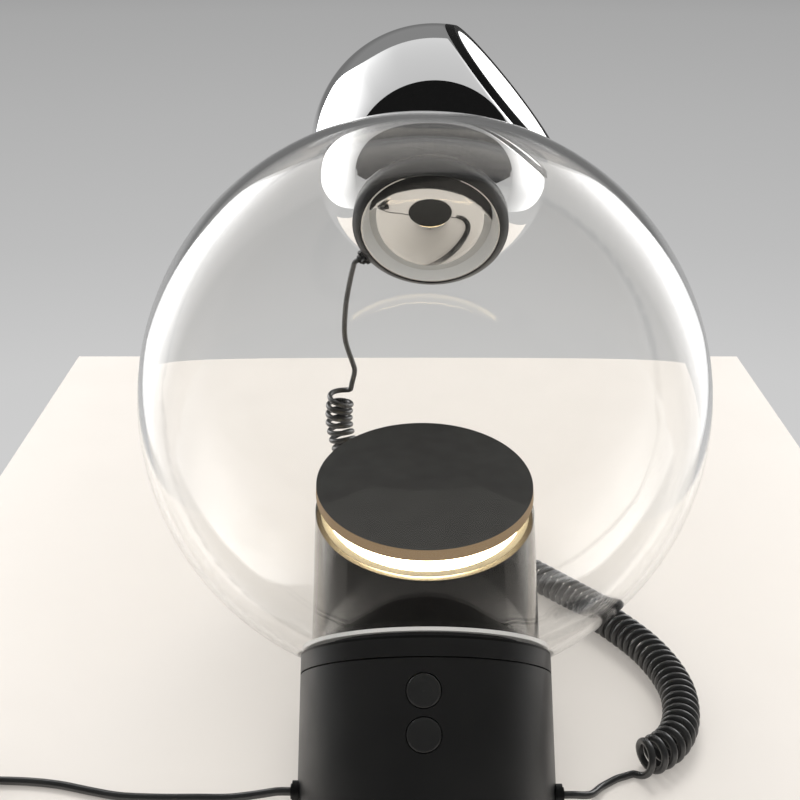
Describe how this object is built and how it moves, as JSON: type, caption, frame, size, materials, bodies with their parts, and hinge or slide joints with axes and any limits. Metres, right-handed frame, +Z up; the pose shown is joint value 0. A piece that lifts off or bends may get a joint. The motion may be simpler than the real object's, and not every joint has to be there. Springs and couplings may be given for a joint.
{
  "type": "table lamp",
  "caption": "Table lamp: a leaning black base with a light tower inside a clear glass globe, and a chrome spotlight head on a foot ring behind it, fed by a curly lead.",
  "frame": {"origin": "centre of the leaning base's foot, on the table", "axes": "+Z up, +Y from the buttons to the back along the lean, +X to the right of someone facing the buttons"},
  "size_m": [0.359, 0.4423, 0.2573],
  "materials": {
    "black_coat": "satin",
    "button_black": "satin",
    "plain_steel": "plain",
    "ballast_iron": "raw",
    "rubber_black": "matt",
    "foot_rubber": "matt",
    "plastic_black": "fine grain",
    "board": "solder mask",
    "trim_bright": "polished",
    "clear_glass": "clear",
    "dark_chrome": "polished dark",
    "tray_metal": "satin",
    "led": "clear dome",
    "opal": "opal",
    "cap_grey": "satin",
    "mirror_chrome": "mirror",
    "pin_metal": "bright"
  },
  "bodies": {
    "lamp": {"base_body": "black_coat", "base_plate": "plain_steel", "foot_pad": "rubber_black", "plate_screws": "plain_steel", "ballast": "ballast_iron", "tie_rod": "plain_steel", "rod_nut": "plain_steel", "switch_bracket": "plastic_black", "switch_board": "board", "tact_switches": "plastic_black", "power_grommet": "rubber_black", "lead_grommet": "rubber_black", "collar": "black_coat", "trim_ring": "trim_bright", "globe_gasket": "rubber_black", "globe": "clear_glass", "tower_tube": "dark_chrome", "tower_bridge": "plain_steel", "driver_board": "board", "driver_parts": "plastic_black", "light_tray": "tray_metal", "ring_board": "tray_metal", "ring_leds": "led", "ring_diffuser": "opal", "cap_posts": "plain_steel", "cap_disc": "cap_grey", "foot_ring": "foot_rubber", "foot_dish": "mirror_chrome", "cable_hub": "foot_rubber", "hub_lead": "rubber_black", "head_gland": "rubber_black", "swivel_spindle": "plain_steel", "thrust_washer": "plain_steel", "spindle_clip": "plain_steel", "lead_tail": "rubber_black", "curly_lead": "rubber_black", "lead_rise": "rubber_black", "power_cord": "rubber_black", "power_coil": "rubber_black", "cord_tie": "rubber_black", "power_plug": "plastic_black", "plug_pins": "pin_metal"},
    "head": {"swivel_plate": "plain_steel", "head_shell": "mirror_chrome", "head_bezel": "plastic_black", "head_diffuser": "opal", "head_board": "tray_metal", "head_leds": "led", "head_heatsink": "tray_metal", "head_screws": "plain_steel"},
    "upper_button": {"button_upper": "button_black"},
    "lower_button": {"button_lower": "button_black"}
  },
  "joints": [
    {"name": "head_swivel", "type": "hinge", "parent": "lamp", "child": "head", "pos_m": [0.00706, 0.26982, 0.19379], "axis": [0.0397, 0.9091, 0.4147], "range_deg": [-170, 170]},
    {"name": "upper_button_press", "type": "slide", "parent": "lamp", "child": "upper_button", "axis": [0.0349, 0.7427, -0.6687], "range_m": [0, 0.0011], "stiffness_N_per_m": 1500, "springref_m": -0.0005},
    {"name": "lower_button_press", "type": "slide", "parent": "lamp", "child": "lower_button", "axis": [0.0349, 0.7427, -0.6687], "range_m": [0, 0.0011], "stiffness_N_per_m": 1500, "springref_m": -0.0005}
  ]
}
